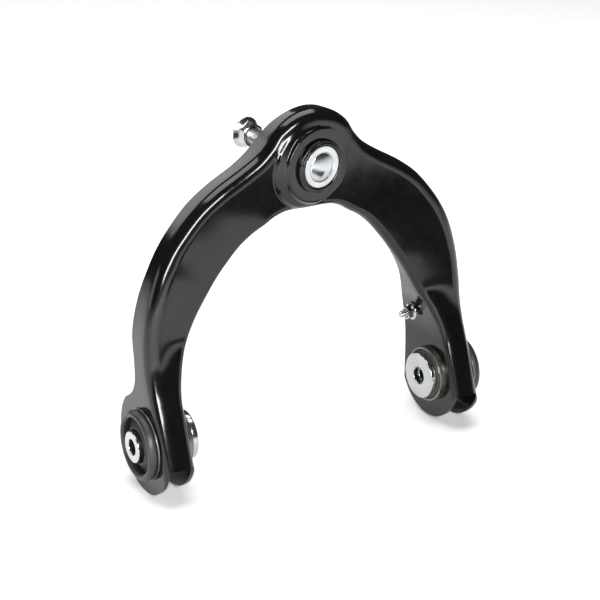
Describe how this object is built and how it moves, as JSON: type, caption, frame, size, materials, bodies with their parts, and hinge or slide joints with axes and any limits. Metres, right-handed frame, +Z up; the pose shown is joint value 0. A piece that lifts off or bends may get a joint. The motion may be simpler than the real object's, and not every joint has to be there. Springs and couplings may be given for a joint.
{
  "type": "upper control arm",
  "caption": "Pressed-steel horseshoe suspension arm with a rubber bush in each leg, a ball joint at the crown and a small bracket stud on one leg.",
  "frame": {"origin": "on the pivot axis through both bushes, midway between the two bush centres", "axes": "+X along the pivot axis towards the leg with the bracket stud, +Y to the side the ball stud leaves from, +Z up towards the ball joint"},
  "size_m": [0.304, 0.1147, 0.2775],
  "materials": {
    "black_paint": "gloss",
    "black_rubber": "satin",
    "dark_steel": "brushed, dark phosphate",
    "bright_zinc": "bright zinc plating",
    "spring_steel": "plain spring steel",
    "race_plastic": "natural acetal"
  },
  "bodies": {
    "arm": {"arm_stamping": "black_paint", "left_bush_can": "dark_steel", "left_bush_lip": "black_rubber", "left_bush_rubber": "black_rubber", "right_bush_can": "dark_steel", "right_bush_lip": "black_rubber", "right_bush_rubber": "black_rubber", "ball_joint_housing": "black_paint", "closing_disc": "bright_zinc", "preload_washer": "spring_steel", "ball_race": "race_plastic", "boot_large_ring": "spring_steel", "bracket_stud": "bright_zinc", "bracket_nut": "bright_zinc"},
    "left_sleeve": {"left_bush_sleeve": "bright_zinc", "left_bush_washer": "bright_zinc"},
    "right_sleeve": {"right_bush_sleeve": "bright_zinc", "right_bush_washer": "bright_zinc"},
    "boot": {"dust_boot": "black_rubber"},
    "boot_neck": {"boot_small_ring": "spring_steel"},
    "stud": {"ball_stud": "bright_zinc", "stud_nut": "bright_zinc"}
  },
  "joints": [
    {"name": "left_bush_twist", "type": "hinge", "parent": "arm", "child": "left_sleeve", "pos_m": [-0.128, 0, 0], "axis": [1, 0, 0], "range_deg": [-25, 25], "stiffness_Nm_per_rad": 20},
    {"name": "right_bush_twist", "type": "hinge", "parent": "arm", "child": "right_sleeve", "pos_m": [0.128, 0, 0], "axis": [1, 0, 0], "range_deg": [-25, 25], "stiffness_Nm_per_rad": 20},
    {"name": "stud_tilt_up_down", "type": "hinge", "parent": "arm", "child": "boot", "pos_m": [0, 0.001, 0.1965], "axis": [0.9879, 0.1551, 0.0074], "range_deg": [-20, 20], "deforming": ["dust_boot"]},
    {"name": "stud_tilt_sideways", "type": "hinge", "parent": "boot", "child": "boot_neck", "pos_m": [0, 0.001, 0.1965], "axis": [0.0074, -0.094, 0.9955], "range_deg": [-20, 20], "deforming": ["dust_boot"]},
    {"name": "stud_spin", "type": "hinge", "parent": "boot_neck", "child": "stud", "pos_m": [0, 0.001, 0.1965], "axis": [-0.1551, 0.9834, 0.094], "continuous": true}
  ]
}
